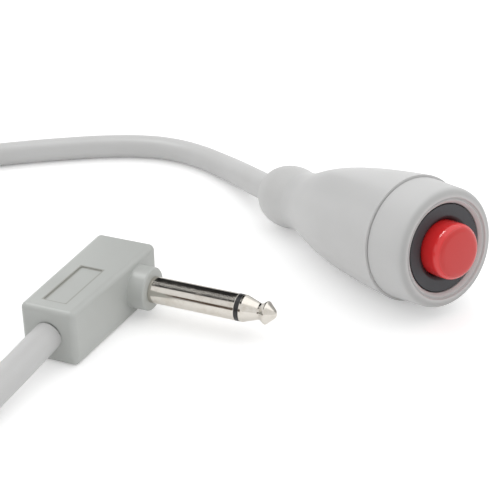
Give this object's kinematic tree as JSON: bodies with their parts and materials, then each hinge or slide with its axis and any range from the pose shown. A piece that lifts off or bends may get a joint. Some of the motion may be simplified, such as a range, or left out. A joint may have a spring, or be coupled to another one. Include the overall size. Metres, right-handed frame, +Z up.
{
  "type": "nurse call button",
  "caption": "Pear-shaped handset with a round push button in its nose, on a pale cord laid in a flat coil that ends in a right-angle jack plug.",
  "frame": {"origin": "middle of the handset's footprint, on the surface it lies on", "axes": "+X from the handset's neck to its button, +Z up; the handset's own axis rises 8.5 degrees towards the button, because it lies on the belly of its side"},
  "size_m": [0.1701, 0.198, 0.0314],
  "materials": {
    "housing_plastic": "smooth moulded, faint grain",
    "soft_plastic": "soft, matt",
    "lead_jacket": "soft, matt",
    "black_plastic": "smooth",
    "red_plastic": "glossy side, matt face",
    "natural_plastic": "smooth",
    "black_rubber": "matt",
    "zinc_steel": "zinc plated",
    "spring_steel": "drawn wire",
    "brass": "stamped",
    "nickel": "polished nickel plate",
    "plug_plastic": "moulded, satin",
    "wire_insulation": "smooth"
  },
  "bodies": {
    "handset": {"pear_housing": "housing_plastic", "strain_relief": "soft_plastic", "cord_tail": "lead_jacket", "cord_ferrule": "zinc_steel", "front_cap": "housing_plastic", "cap_seal": "black_rubber", "switch_body": "black_plastic", "bezel_gasket": "black_rubber", "lock_washer": "zinc_steel", "mounting_nut": "zinc_steel", "return_spring": "spring_steel", "switch_base": "black_plastic", "terminals": "brass", "terminal_sleeves": "black_rubber", "lead_wires": "wire_insulation", "cord_run": "lead_jacket", "cord_coil": "lead_jacket", "cord_end": "lead_jacket", "plug_body": "plug_plastic", "plug_cord_tail": "lead_jacket", "plug_sleeve": "nickel", "plug_insulating_ring": "black_plastic", "plug_rod_tube": "natural_plastic", "plug_tip": "nickel", "tip_lug": "brass", "sleeve_lug": "brass", "plug_wires": "wire_insulation"},
    "button": {"button_cap": "red_plastic", "plunger": "natural_plastic", "contact_bridge": "brass", "bridge_retainer": "zinc_steel"}
  },
  "joints": [
    {"name": "button_press", "type": "slide", "parent": "handset", "child": "button", "axis": [-0.989, 0, -0.1478], "range_m": [0, 0.0022], "stiffness_N_per_m": 600, "springref_m": -0.002, "deforming": ["return_spring"]}
  ]
}
